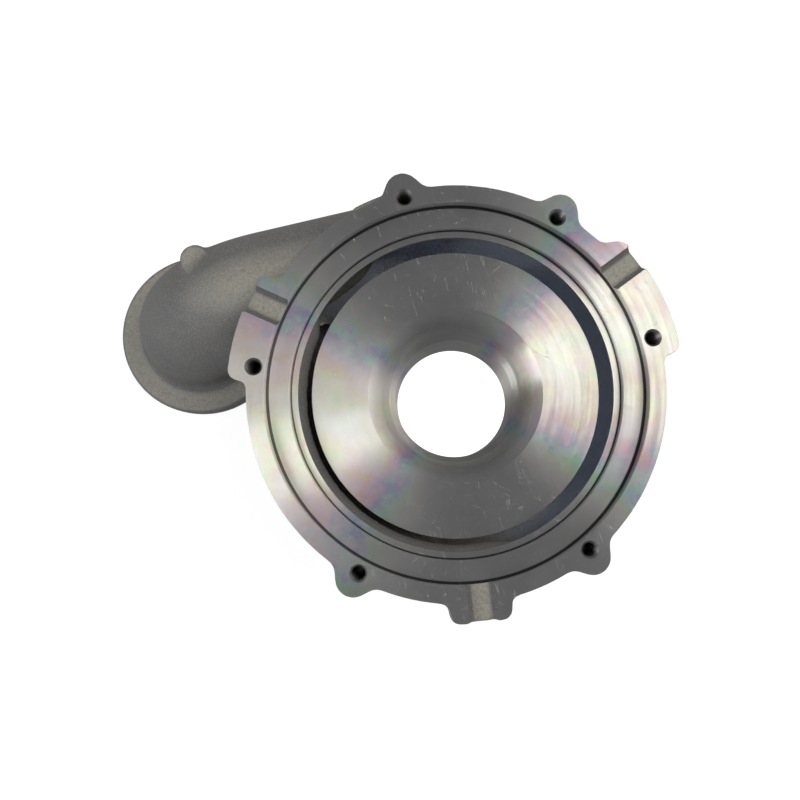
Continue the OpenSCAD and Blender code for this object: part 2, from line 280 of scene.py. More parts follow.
@dataclass
class CastBody:
    """The raw casting as a distance field, before any face is turned."""

    sizes: Sizes
    rounding: Roundings = Roundings()
    step: float = 1.0
    band_steps: float = 3.0
    stock: float = 2.0
    margin: float = 4.0
    triangle_share: float = 0.19

    def grid(self) -> None:
        """Lays out the points at which the distance is worked out."""
        s = self.sizes
        low = (s.port.x - s.lip_r, -s.land_r, 0.0)
        high = (s.land_r, s.exit_shift + s.gap_mid_r + s.exit_r + s.wall, s.height)
        axes = [np.arange(lo - self.margin, hi + self.margin, self.step, dtype=np.float32)
                for lo, hi in zip(low, high)]
        self.origin = [float(a[0]) for a in axes]
        self.x = axes[0][:, None, None]
        self.y = axes[1][None, :, None]
        self.z = axes[2][None, None, :]
        self.r = np.hypot(self.x, self.y)
        self.angle = np.degrees(np.arctan2(self.y, self.x)) % 360.0
        start, along, side = s.outlet_start, s.outlet_along, s.outlet_side
        dx, dy = self.x - start.x, self.y - start.y
        self.along = dx * along.x + dy * along.y
        self.side = dx * side.x + dy * side.y

    def slab(self, low: float, high: float) -> Field:
        """Distance to everything between two heights."""
        return np.maximum(low - self.z, self.z - high)

    def cylinder(self, x: float, y: float, radius: Field | float, low: float, high: float,
                 edge: float) -> Field:
        """Distance to an upright cylinder with rounded edges, whose radius may change with height."""
        return common(np.hypot(self.x - x, self.y - y) - radius, self.slab(low, high), edge)

    def arc_land(self, start: float, end: float, tip: float, first: float, last: float) -> Field:
        """Part of the flange outline that stands out past the rim.

        Args:
            start: Angle of the first corner's centre.
            end: Angle of the last corner's centre.
            tip: Radius of the outer edge.
            first: Radius of the first corner.
            last: Radius of the last corner.

        Returns:
            Distance in the plane of the flange.
        """
        middle = (start + end) / 2
        half = math.radians(end - start) / 2
        turn = np.radians((self.angle - middle + 180.0) % 360.0 - 180.0)
        corner = np.where(turn < 0, first, last)
        ring = tip - corner
        near = np.abs(self.r - ring)
        past = np.maximum(np.abs(turn) - half, 0.0)
        away = np.sqrt(np.maximum(self.r**2 + ring**2 - 2 * self.r * ring * np.cos(past), 0.0))
        return np.where(past > 0, away, near) - corner

    def flange(self) -> Field:
        """Flange web with its lobes and lands, drum and hole bosses."""
        s, k = self.sizes, self.rounding
        outline = self.r - s.rim_r
        spans = [(a, a, s.rim_r + s.lobe_rise, s.lobe_r, s.lobe_r) for a in s.lobe_angles]
        spans += [(start, end, s.land_r, first, last) for start, end, first, last in s.lands]
        for span in spans:
            outline = union(outline, self.arc_land(*span), k.outline)
        web = common(outline, self.slab(s.level(s.web), s.height + self.stock), k.web)
        ledge = self.arc_land(*s.ledge, s.rim_r + s.ledge_rise, s.ledge_corner, s.ledge_corner)
        ledge_foot = s.level(s.ledge_drop + s.ledge_thickness)
        ledge = common(ledge, self.slab(ledge_foot, s.level(s.ledge_drop)), k.ledge)
        drum_foot = s.level(s.drum_depth)
        draft = (self.z - drum_foot) / s.drum_depth * s.drum_draft
        drum = self.cylinder(0, 0, s.drum_r - s.drum_draft + draft, drum_foot, s.height, k.drum)
        body = union(union(web, drum, k.drum_foot), ledge, k.ledge)
        for a in s.hole_angles:
            boss = self.cylinder(*around(s.hole_circle_r, a), s.hole_boss_r,
                                 s.level(s.tap_depth + s.hole_boss_below), s.level(s.web - s.overlap), k.boss)
            body = union(body, boss, k.boss_foot)
        return body

    def neck(self) -> Field:
        """Hub under the diffuser, wall of the throat and inlet spigot with its bead."""
        s, k = self.sizes, self.rounding
        throat = self.cylinder(0, 0, s.throat_r + s.neck_wall, s.neck_foot, s.level(s.drum_depth), k.throat)
        hub = self.cylinder(0, 0, s.wheel_tip_r + s.neck_wall, s.level(s.drum_depth + s.hub_below),
                            s.level(s.drum_depth - s.overlap), k.hub)
        spigot = self.cylinder(0, 0, s.spigot_r, -self.stock, s.spigot_top, k.spigot)
        bead_ring = s.spigot_r + s.bead_rise - s.bead_r
        bead = np.hypot(self.r - bead_ring, self.z - s.bead_level) - s.bead_r
        return union(union(union(throat, hub, k.hub_foot), spigot, k.spigot_foot), bead, k.bead_foot)

    def scroll(self, grow: float) -> Field:
        """Round passage of the scroll, closed by a round nose at the tongue.

        Args:
            grow: How much larger than the passage the solid is.

        Returns:
            Distance to the scroll.
        """
        s = self.sizes
        turned = np.where(self.angle < s.tongue_angle, self.angle + 360.0, self.angle)
        share = (turned - s.tongue_angle) / (s.outlet_angle - s.tongue_angle)
        inside = share <= 1.0
        share = np.minimum(share, 1.0)
        radius = np.sqrt(s.start_r**2 + (s.exit_r**2 - s.start_r**2) * share)
        centre = s.gap_mid_r - s.start_shift + (s.exit_shift + s.start_shift) * share
        level = s.level(s.passage_top_depth) - radius
        ring = np.hypot(self.r - centre, self.z - level) - radius - grow
        x, y = around(s.gap_mid_r - s.start_shift, s.tongue_angle)
        low = s.level(s.passage_top_depth + s.start_r)
        nose = np.sqrt((self.x - x) ** 2 + (self.y - y) ** 2 + (self.z - low) ** 2) - s.start_r - grow
        return np.where(inside, ring, nose)

    def outlet(self, grow: float) -> Field:
        """Straight outlet, elbow and port as one run.

        Args:
            grow: How much larger than the passage the solid is.

        Returns:
            Distance to the run.
        """
        s = self.sizes
        middle = s.outlet_start.z
        past = self.along - s.straight
        rise = self.z - (middle - s.bend_r)
        reach = np.clip((self.along + 0 * self.z) / s.outlet_reach, 0.0, 1.0)
        radius = s.exit_r + (s.port_r - s.exit_r) * reach + grow
        straight = np.hypot(self.side, self.z - middle) - radius
        bend = np.hypot(np.hypot(past, rise) - s.bend_r, self.side) - radius
        drop = np.hypot(past - s.bend_r, self.side) - radius
        run = np.where(past < 0, straight, np.where(rise > 0, bend, drop))
        return np.maximum(run, -self.along)

    def skin(self) -> Field:
        """Outside of the scroll and the outlet, with the port's lip and the nub."""
        s, k = self.sizes, self.rounding
        blend = k.outlet_start + k.outlet_growth * smooth_step(*k.outlet_stretch, self.along)
        skin = union(self.scroll(s.wall), self.outlet(s.wall), blend)
        lip = self.cylinder(s.port.x, s.port.y, s.lip_r, -self.stock, s.lip_thickness, k.lip)
        skin = union(skin, lip, BLEND_PER_RADIUS * s.port_flare)
        return union(skin, self.nub(), k.nub_foot)

    def nub(self) -> Field:
        """Cast nub on the shoulder of the elbow, with a flat face and drafted sides."""
        s = self.sizes
        place = s.port - s.nub_back * s.outlet_along + s.nub_side * s.outlet_side
        top = s.outlet_start.z + s.nub_height
        radius = s.nub_r + s.nub_draft * (top - self.z) / s.nub_length
        return self.cylinder(place.x, place.y, radius, top - s.nub_length, top, self.rounding.nub)

    def tongue_boss(self) -> Field:
        """Metal between the start of the scroll and the outlet, under the tongue."""
        s = self.sizes
        x, y = around(s.gap_mid_r - s.tongue_boss_inside, s.tongue_angle - s.tongue_boss_turn)
        return self.cylinder(x, y, s.tongue_boss_r, s.outlet_start.z,
                             s.level(s.diffuser_depth + s.overlap), self.rounding.tongue_boss)

    def ring_gap(self) -> Field:
        """Cast ring gap: open to the scroll below, with a floor that climbs to the tongue over the outlet."""
        s = self.sizes
        first = s.outlet_angle - 360.0
        share = np.clip((self.angle - first) / (s.tongue_edge - first), 0.0, 1.0)
        foot = s.level(s.passage_top_depth + s.gap_below)
        low = s.outlet_start.z
        floor = np.where(self.angle < first, foot, low + (foot - low) * share**s.tongue_climb)
        deep = np.clip(s.level(s.inner_ring_depth) - s.gap_lip - self.z, 0.0,
                       s.passage_top_depth - s.inner_ring_depth)
        drafted = smooth_step(*s.draft_rise, self.angle) * smooth_step(*s.draft_fall, self.angle)
        wall = s.gap_outer_r - s.gap_slope * deep * (2.0 * drafted - 1.0)
        return np.maximum(np.maximum(s.gap_inner_r - self.r, self.r - wall), floor - self.z)

    def notch(self, angle: float) -> Field:
        """Relief notch across the flange, with drafted sides.

        Args:
            angle: Direction of the notch.

        Returns:
            Distance to the notch.
        """
        s = self.sizes
        x, y = around(1.0, angle)
        out = self.x * x + self.y * y
        across = np.abs(self.y * x - self.x * y)
        up = self.z - s.level(s.notch_depth)
        half = s.notch_floor / 2 + (s.notch_width - s.notch_floor) / 2 * np.clip(up / s.notch_depth, -1, 2)
        trough = common(across - half, -up, self.rounding.notch)
        return np.maximum(trough, s.register_r - s.notch_inside - out)

    def whole(self) -> Field:
        """Distance to the whole casting."""
        k = self.rounding
        body = union(self.flange(), self.neck(), k.neck_foot)
        body = union(body, self.tongue_boss(), k.tongue_boss_foot)
        body = union(body, self.skin(), k.skin_foot)
        passage = union(self.scroll(0.0), self.outlet(0.0), k.passage)
        body = common(body, -passage, k.opening_edge)
        body = np.maximum(body, -self.ring_gap())
        for a in self.sizes.notch_angles:
            body = common(body, -self.notch(a), k.opening_edge)
        return body

    def build(self) -> Piece:
        """Meshes the field.

        Returns:
            The casting with stock left on its turned faces.
        """
        self.grid()
        band = self.band_steps * self.step
        values = np.clip(self.whole(), -band, band)
        level_set = openvdb.FloatGrid(band)
        level_set.copyFromArray(np.ascontiguousarray(values, dtype=np.float32))
        points, triangles, quads = level_set.convertToPolygons(isovalue=0.0, adaptivity=0.0)
        points = (np.asarray(points) * self.step + np.asarray(self.origin)) * MM
        faces = [tuple(int(i) for i in f[::-1]) for f in quads]
        faces += [tuple(int(i) for i in f[::-1]) for f in triangles]
        body = mesh_object("compressor_casting", points, faces)
        log.info("casting: %d faces", len(body.data.polygons))
        return body


def lathe(name: str, profile: Profile, place: Pair = (0.0, 0.0), turns: int = 256) -> Piece:
    """Turns a closed profile that starts and ends on the axis.

    Args:
        name: Name of the solid.
        profile: Radius and height of each corner, in millimetres, from the bottom up.
        place: Where the axis stands.
        turns: Number of facets round the axis.

    Returns:
        The turned solid.
    """
    rings = [p for p in profile if p[0] > 0]
    angles = np.linspace(0, 2 * math.pi, turns, endpoint=False)
    points = [(place[0] + r * math.cos(a), place[1] + r * math.sin(a), z) for r, z in rings for a in angles]
    points += [(place[0], place[1], profile[0][1]), (place[0], place[1], profile[-1][1])]
    foot, head = len(points) - 2, len(points) - 1
    last = (len(rings) - 1) * turns
    pairs = [(k, (k + 1) % turns) for k in range(turns)]
    faces = [(i + k, i + n, i + turns + n, i + turns + k) for i in range(0, last, turns) for k, n in pairs]
    for k, n in pairs:
        faces += [(foot, n, k), (head, last + k, last + n)]
    return mesh_object(name, np.array(points) * MM, faces)


@dataclass
class Machining:
    """Every cut that a lathe, a mill or a tap makes in the casting."""

    sizes: Sizes
    edge: float = 0.35
    clear: float = 6.0
    bell_steps: int = 12
    contour_steps: int = 16
    hole_turns: int = 40
    port_turns: int = 128

    def mouth(self, radius: float) -> Profile:
        """Profile of a chamfered mouth in the plane of the inlet rim."""
        wide = radius + self.sizes.mouth_chamfer
        return [(0.0, -self.clear), (wide, -self.clear), (wide, 0.0), (radius, self.sizes.mouth_chamfer)]

    def bell(self) -> Profile:
        """Profile of the inlet bell, which narrows to the throat."""
        s = self.sizes
        throat = s.level(s.throat_end_depth)
        points = []
        for k in range(self.bell_steps + 1):
            a = math.radians(90.0 * k / self.bell_steps)
            points.append((s.throat_r + (s.inlet_r - s.throat_r) * math.cos(a),
                           s.inlet_land + (throat - s.inlet_land) * math.sin(a)))
        return points

    def contour(self) -> Profile:
        """Profile of the wheel bore, from the throat up to the diffuser face."""
        s = self.sizes
        level = s.level(s.diffuser_depth + s.contour_depth)
        end = math.radians(s.contour_turn)
        drop = s.wheel_tip_r - s.inducer_r
        points = [(s.throat_r, level - s.inducer_bevel),
                  (s.inducer_r - s.inducer_corner, level - s.inducer_corner)]
        for k in range(self.contour_steps + 1):
            a = end * k / self.contour_steps
            points.append((s.inducer_r + drop * (1 - math.cos(a)) / (1 - math.cos(end)),
                           level + s.contour_depth * math.sin(a) / math.sin(end)))
        return points

    def seats(self) -> Profile:
        """Profile of the diffuser face, the seat rings, their grooves and the register."""
        s, e = self.sizes, self.edge
        face, ring, seat = s.level(s.diffuser_depth), s.level(s.inner_ring_depth), s.level(s.register_depth)
        groove_r, groove = s.seat_inner_r - s.step_groove_width, ring - s.step_groove_depth
        relief_r, relief = s.register_r - s.relief_width, seat - s.relief_depth
        under_r, under = s.register_r + s.relief_undercut, seat + s.relief_rise
        return [
            (s.gap_mid_r, face), (s.gap_mid_r, ring),
            (groove_r, ring), (groove_r, groove), (s.seat_inner_r, groove),
            (s.seat_inner_r, seat - e), (s.seat_inner_r + e, seat),
            (relief_r, seat), (relief_r + s.relief_slant, relief),
            (under_r, relief), (under_r, under), (s.register_r, under),
            (s.register_r, s.height - e), (s.register_r + e, s.height),
            (s.register_r + e, s.height + s.overlap), (0.0, s.height + s.overlap),
        ]

    def bores(self) -> Piece:
        """Everything that is turned round the main axis."""
        profile = self.mouth(self.sizes.inlet_r) + self.bell() + self.contour() + self.seats()
        return lathe("cut_bores", profile)

    def facing(self, low: float, high: float, reach: float, place: Pair) -> Piece:
        """Flat facing cut between two heights, turned so that no cut face has a hole in it."""
        return lathe("cut_face", [(0.0, low), (reach, low), (reach, high), (0.0, high)], place)

    def tapped_hole(self, angle: float) -> Piece:
        """Threaded hole with a chamfered mouth.

        Args:
            angle: Direction of the hole from the main axis.

        Returns:
            The solid that the drill and tap take away.
        """
        s = self.sizes
        bottom = s.level(s.tap_depth)
        profile = [(0.0, bottom - s.drill_point), (s.tap_drill_r, bottom)]
        z = bottom + s.thread_start
        while z < s.height - s.thread_end:
            profile += [(s.tap_drill_r, z), (s.thread_r, z + 0.5 * s.thread_pitch)]
            z += s.thread_pitch
        wide = s.thread_r + s.hole_chamfer
        profile += [(s.tap_drill_r, z), (s.tap_drill_r, s.height - s.mouth_chamfer),
                    (wide, s.height), (wide, s.height + s.overlap), (0.0, s.height + s.overlap)]
        return lathe("cut_hole", profile, around(s.hole_circle_r, angle), self.hole_turns)

    def port_mouth(self) -> Piece:
        """Turned mouth of the outlet port."""
        s = self.sizes
        radius = s.port_r + s.port_mouth_step
        profile = self.mouth(radius) + [(radius, s.lip_thickness), (0.0, s.lip_thickness)]
        return lathe("cut_port", profile, (s.port.x, s.port.y), self.port_turns)

    def cutters(self) -> list[tuple[Piece, Surface]]:
        """All the cuts, with the kind of surface that each leaves."""
        s = self.sizes
        axis = (0.0, 0.0)
        cuts = [
            (self.bores(), Surface.TURNED),
            (self.facing(s.height, s.height + self.clear, s.land_r + self.clear, axis), Surface.TURNED),
            (self.facing(-self.clear, 0.0, s.spigot_r + self.clear, axis), Surface.TURNED),
            (self.facing(-self.clear, 0.0, s.lip_r + self.clear, (s.port.x, s.port.y)), Surface.TURNED),
            (self.port_mouth(), Surface.BORED),
        ]
        cuts += [(self.tapped_hole(a), Surface.BORED) for a in s.hole_angles]
        return cuts


def apply_modifiers(piece: Piece) -> None:
    """Turns a piece's modifiers into its mesh."""
    graph = bpy.context.evaluated_depsgraph_get()
    done = bpy.data.meshes.new_from_object(piece.evaluated_get(graph))
    old = piece.data
    piece.modifiers.clear()
    piece.data = done
    bpy.data.meshes.remove(old)


@dataclass
class Housing:
    """The finished casting: cast skin, machined faces and their materials."""

    sizes: Sizes
    materials: dict[Surface, bpy.types.Material]
    sharp_angle: float = 32.0
    flatness: int = 100

    def build(self) -> Piece:
        """Casts, thins, machines and dresses the housing.

        Returns:
            The finished piece.
        """
        cast = CastBody(self.sizes)
        body = cast.build()
        for kind in Surface:
            body.data.materials.append(self.materials[kind])
        thin = body.modifiers.new("thin", "DECIMATE")
        thin.ratio = cast.triangle_share
        apply_modifiers(body)
        for cutter, kind in Machining(self.sizes).cutters():
            for each in Surface:
                cutter.data.materials.append(self.materials[each])
            cutter.data.polygons.foreach_set("material_index", [kind.value] * len(cutter.data.polygons))
            cut = body.modifiers.new("cut", "BOOLEAN")
            cut.operation = "DIFFERENCE"
            cut.solver = "MANIFOLD"
            cut.object = cutter
            apply_modifiers(body)
            log.info("%s: %d faces left", cutter.name, len(body.data.polygons))
            bpy.data.objects.remove(cutter)
        self.shade(body)
        return body

    def shade(self, body: Piece) -> None:
        """Shades the faces smooth and keeps machined edges sharp and turned faces flat."""
        body.name = "compressor_casting"
        body.data.polygons.foreach_set("use_smooth", [True] * len(body.data.polygons))
        body.data.set_sharp_from_angle(angle=math.radians(self.sharp_angle))
        weigh = body.modifiers.new("weigh", "WEIGHTED_NORMAL")
        weigh.keep_sharp = True
        weigh.weight = self.flatness
        apply_modifiers(body)


class Nodes:
    """Short hand for laying out a node tree."""

    def __init__(self, tree: bpy.types.NodeTree) -> None:
        """Starts on a tree."""
        self.tree = tree

    def add(self, kind: str, inputs: dict | None = None, **settings: object) -> bpy.types.Node:
        """Adds a node.

        Args:
            kind: Blender's name of the node type.
            inputs: Input values or sockets to link, by input name or number.
            settings: Properties of the node.

        Returns:
            The new node.
        """
        node = self.tree.nodes.new(kind)
        for name, value in settings.items():
            setattr(node, name, value)
        for name, value in (inputs or {}).items():
            if isinstance(value, Socket):
                self.tree.links.new(value, node.inputs[name])
            else:
                node.inputs[name].default_value = value
        return node

    def where(self) -> Socket:
        """Place on the object in metres."""
        return self.add("ShaderNodeTexCoord").outputs["Object"]

    def normal(self) -> Socket:
        """Direction that the surface faces."""
        return self.add("ShaderNodeNewGeometry").outputs["Normal"]

    def split(self, vector: Socket) -> Sequence[Socket]:
        """The three parts of a vector."""
        return self.add("ShaderNodeSeparateXYZ", {0: vector}).outputs

    def join(self, x: object, y: object, z: object) -> Socket:
        """A vector of three values or sockets."""
        return self.add("ShaderNodeCombineXYZ", {0: x, 1: y, 2: z}).outputs[0]

    def math(self, operation: str, a: object, b: object = 0.0) -> Socket:
        """Result of a Math node on two values or sockets."""
        return self.add("ShaderNodeMath", {0: a, 1: b}, operation=operation).outputs[0]

    def vector(self, operation: str, a: object, b: object = (0, 0, 0)) -> Socket:
        """Result of a Vector Math node on two vectors or sockets."""
        return self.add("ShaderNodeVectorMath", {0: a, 1: b}, operation=operation).outputs[0]

    def dot(self, a: object, b: object) -> Socket:
        """Dot product of two vectors or sockets."""
        return self.add("ShaderNodeVectorMath", {0: a, 1: b}, operation="DOT_PRODUCT").outputs["Value"]

    def length(self, vector: Socket) -> Socket:
        """Length of a vector."""
        return self.add("ShaderNodeVectorMath", {0: vector}, operation="LENGTH").outputs["Value"]

    def noise(self, vector: Socket, scale: object, detail: float = 2.0, rough: float = 0.5) -> Socket:
        """Value of a noise texture at a vector. A Noise holds its scale, detail and roughness."""
        return self.add("ShaderNodeTexNoise", {"Vector": vector, "Scale": scale, "Detail": detail,
                                               "Roughness": rough}).outputs["Fac"]

    def ramp(self, value: object, low: object, high: object, to_low: float = 0.0,
             to_high: float = 1.0) -> Socket:
        """Maps a value from one range to another and holds it there."""
        return self.add("ShaderNodeMapRange", {"Value": value, "From Min": low, "From Max": high,
                                               "To Min": to_low, "To Max": to_high}).outputs[0]

    def mix(self, share: object, a: object, b: object, blend: str = "MIX") -> Socket:
        """Mixes two colours."""
        node = self.add("ShaderNodeMix", {0: share, 6: a, 7: b}, data_type="RGBA", blend_type=blend)
        return node.outputs[2]

    def bump(self, height: Socket, strength: float, distance: float, **under: Socket) -> Socket:
        """Normal of a surface with a relief on it, over another such normal if one is given."""
        return self.add("ShaderNodeBump", {"Height": height, "Strength": strength, "Distance": distance,
                                           **under}).outputs[0]


def new_material(name: str) -> tuple[bpy.types.Material, Nodes, bpy.types.Node]:
    """Starts a material, and gives its layout helper and its shader."""
    material = bpy.data.materials.new(name)
    material.use_nodes = True
    return material, Nodes(material.node_tree), material.node_tree.nodes["Principled BSDF"]


def new_group(name: str, inputs: Sequence[str]) -> Nodes:
    """Starts a node group that gives a mask.

    Args:
        name: Name of the group.
        inputs: Name of each value that it takes.

    Returns:
        The layout helper of the group.
    """
    tree = bpy.data.node_groups.new(name, "ShaderNodeTree")
    for label in inputs:
        tree.interface.new_socket(label, in_out="INPUT", socket_type="NodeSocketFloat")
    tree.interface.new_socket("Mask", in_out="OUTPUT", socket_type="NodeSocketFloat")
    return Nodes(tree)


class Effects:
    """Node groups that several finishes share."""

    line_ways: tuple[float, ...] = (0.4, 1.3, 2.5)
    line_stretch: float = 0.06
    line_width: float = 0.004
    patch_scales: Pair = (140.0, 40.0)
    patch_range: Pair = (0.54, 0.66)
    blotch_noise: Pair = (5.0, 0.6)
    line_noise: Pair = (3.0, 0.7)

    def __init__(self) -> None:
        """Builds each group once."""
        self.grime = self.make_grime()
        self.scratches = self.make_scratches()

    def make_grime(self) -> bpy.types.NodeTree:
        """Slow blotches, as from handling and coolant stains."""
        n = new_group("blotches", ("Scale", "Contrast"))
        given = n.add("NodeGroupInput").outputs
        texture = n.noise(n.where(), given["Scale"], *self.blotch_noise)
        half = n.math("MULTIPLY", given["Contrast"], 0.5)
        mask = n.ramp(texture, n.math("SUBTRACT", 0.5, half), n.math("ADD", 0.5, half))
        n.add("NodeGroupOutput", {"Mask": mask})
        return n.tree

    def make_scratches(self) -> bpy.types.NodeTree:
        """Sparse fine lines in several directions."""
        n = new_group("scratches", ("Scale", "Amount"))
        given = n.add("NodeGroupInput").outputs
        where = n.where()
        least, more = self.patch_scales
        total = 0.0
        for way in self.line_ways:
            turned = n.add("ShaderNodeVectorRotate", {"Vector": where, "Angle": way}, rotation_type="Z_AXIS")
            turned = turned.outputs[0]
            stretched = n.vector("MULTIPLY", turned, (self.line_stretch, 1.0, 1.0))
            line = n.noise(stretched, given["Scale"], *self.line_noise)
            thin = n.ramp(n.math("ABSOLUTE", n.math("SUBTRACT", line, 0.5)), 0.0, self.line_width, 1.0, 0.0)
            patch = n.ramp(n.noise(turned, least + more * way), *self.patch_range)
            total = n.math("MAXIMUM", total, n.math("MULTIPLY", thin, patch))
        n.add("NodeGroupOutput", {"Mask": n.math("MULTIPLY", total, given["Amount"])})
        return n.tree

    def use(self, nodes: Nodes, group: bpy.types.NodeTree, values: Pair) -> Socket:
        """Places a group in a material and gives its mask."""
        return nodes.add("ShaderNodeGroup", dict(enumerate(values)), node_tree=group).outputs["Mask"]


@dataclass(frozen=True)
class SandCast:
    """Dull sand-cast aluminium with a fine grain. Faces that face up get pale specks as painted top light,
    and the wall inside the scroll passage gets pale bluish painted light.
    """

    sizes: Sizes
    name: str = "sand_cast"
    tone: Colour = (0.232, 0.228, 0.222, 1.0)
    pale: Colour = (0.50, 0.47, 0.39, 1.0)
    deep: Colour = (0.12, 0.121, 0.128, 1.0)
    # Pale bluish painted light on the wall inside the scroll passage.
    inside: Colour = (0.80, 0.84, 0.92, 1.0)
    metallic: float = 0.3
    roughness: Pair = (0.48, 0.68)
    grain: Noise = (1700.0, 2.0, 0.6)
    coarse: Noise = (700.0, 3.0, 0.6)
    blotches: Pair = (22.0, 0.5)
    blotch_share: float = 0.55
    speck_range: Pair = (0.52, 0.72)
    speck_share: float = 0.75
    # Painted top light on faces that face up.
    top_light_from: float = 0.86
    top_light_shares: Pair = (0.3, 0.95)
    grain_height: float = 0.0004
    grain_strength: float = 0.6
    coarse_height: float = 1.2
    skin_depth: float = 1.5
    wide_from: Pair = (0.4, 0.5)
    facing_middle: Pair = (0.2, 0.5)

    def build(self, effects: Effects) -> bpy.types.Material:
        """Makes the material."""
        material, n, shader = new_material(self.name)
        links = material.node_tree.links
        where, normal = n.where(), n.normal()
        grain = n.noise(where, *self.grain)
        coarse = n.noise(where, *self.coarse)
        blotch = effects.use(n, effects.grime, self.blotches)
        speck = n.ramp(grain, *self.speck_range)
        colour = n.mix(n.math("MULTIPLY", blotch, self.blotch_share), self.tone, self.deep)
        colour = n.mix(n.math("MULTIPLY", speck, self.speck_share), colour, self.pale)
        # Painted top light: faces that face up turn paler, in the pattern of the coarse grain.
        flat = n.ramp(n.split(normal)[2], self.top_light_from, 1.0)
        grain_on_lit_top = n.ramp(coarse, *NOISE_MIDDLE, *self.top_light_shares)
        colour = n.mix(n.math("MULTIPLY", flat, grain_on_lit_top), colour, self.pale)
        # Painted light: the passage wall that faces the middle of the passage is painted pale bluish, as if
        # lit.
        colour = n.mix(self.passage(n, where, normal), colour, self.inside)
        links.new(colour, shader.inputs["Base Color"])
        shader.inputs["Metallic"].default_value = self.metallic
        links.new(n.ramp(coarse, *NOISE_MIDDLE, *self.roughness), shader.inputs["Roughness"])
        height = n.math("ADD", grain, n.math("MULTIPLY", coarse, self.coarse_height))
        links.new(n.bump(height, self.grain_strength, self.grain_height), shader.inputs["Normal"])
        return material

    def passage(self, n: Nodes, where: Socket, normal: Socket) -> Socket:
        """Wall of the scroll passage, which faces the middle of the passage, where pale bluish painted light
        goes.

        Args:
            n: Layout helper of the material.
            where: Place on the surface.
            normal: Direction that the surface faces.

        Returns:
            One inside the wide part of the passage and nought on the skin.
        """
        s = self.sizes
        x, y, _ = n.split(where)
        turn = n.math("ARCTAN2", y, x)
        past_tongue = n.math("GREATER_THAN", turn, math.radians(s.tongue_angle))
        turn = n.math("SUBTRACT", turn, n.math("MULTIPLY", past_tongue, 2 * math.pi))
        share = n.ramp(turn, math.radians(s.tongue_angle - 360.0), math.radians(s.outlet_angle - 360.0))
        growth = n.math("MULTIPLY", share, s.exit_r**2 - s.start_r**2)
        radius = n.math("SQRT", n.math("ADD", s.start_r**2, growth))
        out = n.vector("NORMALIZE", n.vector("MULTIPLY", where, (1, 1, 0)))
        ring = n.ramp(share, 0.0, 1.0, (s.gap_mid_r - s.start_shift) * MM, (s.gap_mid_r + s.exit_shift) * MM)
        ring = n.add("ShaderNodeVectorMath", {0: out, "Scale": ring}, operation="SCALE").outputs[0]
        level = n.math("SUBTRACT", s.level(s.passage_top_depth), radius)
        middle = n.vector("ADD", ring, n.join(0.0, 0.0, n.math("MULTIPLY", level, MM)))
        away = n.vector("SUBTRACT", middle, where)
        reach = n.math("MULTIPLY", n.math("ADD", radius, self.skin_depth), MM)
        close = n.math("LESS_THAN", n.length(away), reach)
        close = n.math("MULTIPLY", close, n.ramp(share, *self.wide_from))
        faces = n.ramp(n.dot(n.vector("NORMALIZE", away), normal), *self.facing_middle)
        return n.math("MULTIPLY", faces, close)


